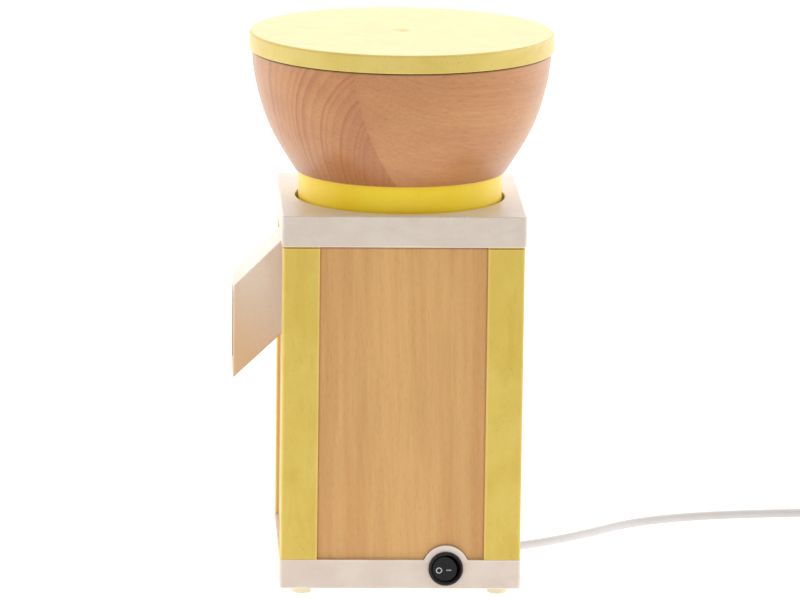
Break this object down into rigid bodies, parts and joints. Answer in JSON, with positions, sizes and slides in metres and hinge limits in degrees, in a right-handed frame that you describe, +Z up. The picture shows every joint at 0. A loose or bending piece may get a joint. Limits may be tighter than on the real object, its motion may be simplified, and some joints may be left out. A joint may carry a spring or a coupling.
{
  "type": "electric grain mill",
  "caption": "Upright electric grain mill: square wooden housing with yellow posts, slanted flour spout, rocker switch, turned bowl hopper with lid on a yellow collar.",
  "frame": {"origin": "where the vertical axis of the motor, stones and hopper meets the surface that the feet stand on", "axes": "+Z up along the mill's axis; the flour spout points to -Y; the rocker switch is on the +X side; the cord leaves under the rear edge towards +Y"},
  "size_m": [0.2651, 0.5185, 0.3693],
  "materials": {
    "cream_bioplastic": "moulded wood-fibre bioplastic, satin, natural cream",
    "yellow_bioplastic": "moulded wood-fibre bioplastic, satin, yellow",
    "beech": "steamed beech, oiled, satin",
    "foot_rubber": "soft pale bumper rubber",
    "zinc_steel": "zinc-plated",
    "cast_aluminium": "cast and turned",
    "grinding_stone": "bonded corundum ceramic, rough",
    "felt": "pressed wool felt",
    "lamination_steel": "laminated electrical steel",
    "bearing_steel": "ground",
    "winding_copper": "enamelled copper wire",
    "capacitor_plastic": "white plastic can",
    "natural_nylon": "natural polyamide",
    "black_nylon": "black polyamide, satin gloss",
    "contact_brass": "stamped",
    "nickel_brass": "nickel-plated",
    "cord_pvc": "white flexible PVC",
    "tie_plastic": "hook-and-loop strap"
  },
  "bodies": {
    "housing": {"base_tray": "cream_bioplastic", "feet": "foot_rubber", "base_screws": "zinc_steel", "corner_post_front_right": "yellow_bioplastic", "corner_post_front_left": "yellow_bioplastic", "corner_post_rear_right": "yellow_bioplastic", "corner_post_rear_left": "yellow_bioplastic", "right_panel": "beech", "left_panel": "beech", "front_panel": "beech", "rear_panel": "beech", "top_plate": "cream_bioplastic", "post_dowels": "beech", "flour_spout": "cream_bioplastic", "spout_screws": "zinc_steel", "milling_chamber": "cast_aluminium", "chamber_cover": "cast_aluminium", "chamber_screws": "zinc_steel", "cover_screws": "zinc_steel", "guide_pins": "zinc_steel", "shaft_seal": "felt", "motor_upper_shield": "cast_aluminium", "motor_lower_shield": "cast_aluminium", "stator_core": "lamination_steel", "stator_windings": "winding_copper", "upper_bearing": "bearing_steel", "lower_bearing": "bearing_steel", "motor_through_bolts": "zinc_steel", "motor_mount_screws": "zinc_steel", "run_capacitor": "capacitor_plastic", "capacitor_clip": "zinc_steel", "terminal_block": "natural_nylon", "terminal_screws": "zinc_steel", "switch_body": "black_nylon", "switch_terminals": "contact_brass", "strain_relief": "cord_pvc", "power_cord": "cord_pvc", "cord_coil": "cord_pvc", "cord_tail": "cord_pvc", "cord_tie": "tie_plastic", "plug": "cord_pvc", "plug_pins": "nickel_brass"},
    "stone_carrier": {"stone_carrier": "cast_aluminium", "upper_stone": "grinding_stone", "carrier_springs": "zinc_steel"},
    "hopper": {"hopper_bowl": "beech", "hopper_ring": "yellow_bioplastic", "hopper_screws": "zinc_steel", "thrust_washer": "natural_nylon"},
    "lid": {"lid": "yellow_bioplastic"},
    "rotor": {"motor_shaft": "zinc_steel", "rotor_core": "lamination_steel", "rotor_end_rings": "cast_aluminium", "cooling_fan": "black_nylon", "stone_hub": "cast_aluminium", "lower_stone": "grinding_stone", "stone_nut": "zinc_steel"},
    "rocker": {"switch_rocker": "black_nylon"}
  },
  "joints": [
    {"name": "stone_feed", "type": "slide", "parent": "housing", "child": "stone_carrier", "axis": [0, 0, 1], "range_m": [0, 0.0026], "deforming": ["carrier_springs"]},
    {"name": "hopper_turn", "type": "hinge", "parent": "stone_carrier", "child": "hopper", "pos_m": [0, 0, 0.2581], "axis": [0, 0, 1], "range_deg": [0, 300]},
    {"name": "lid_lift", "type": "slide", "parent": "hopper", "child": "lid", "axis": [0, 0, 1], "range_m": [0, 0.12]},
    {"name": "motor_spin", "type": "hinge", "parent": "housing", "child": "rotor", "pos_m": [0, 0, 0.128], "axis": [0, 0, 1], "continuous": true},
    {"name": "switch_tip", "type": "hinge", "parent": "housing", "child": "rocker", "pos_m": [0.0765, 0.0303, 0.0195], "axis": [0, 0, 1], "range_deg": [0, 14]}
  ],
  "couplings": [
    {"joint": "stone_feed", "follows": "hopper_turn", "m_per_rad": 0.00047746}
  ]
}
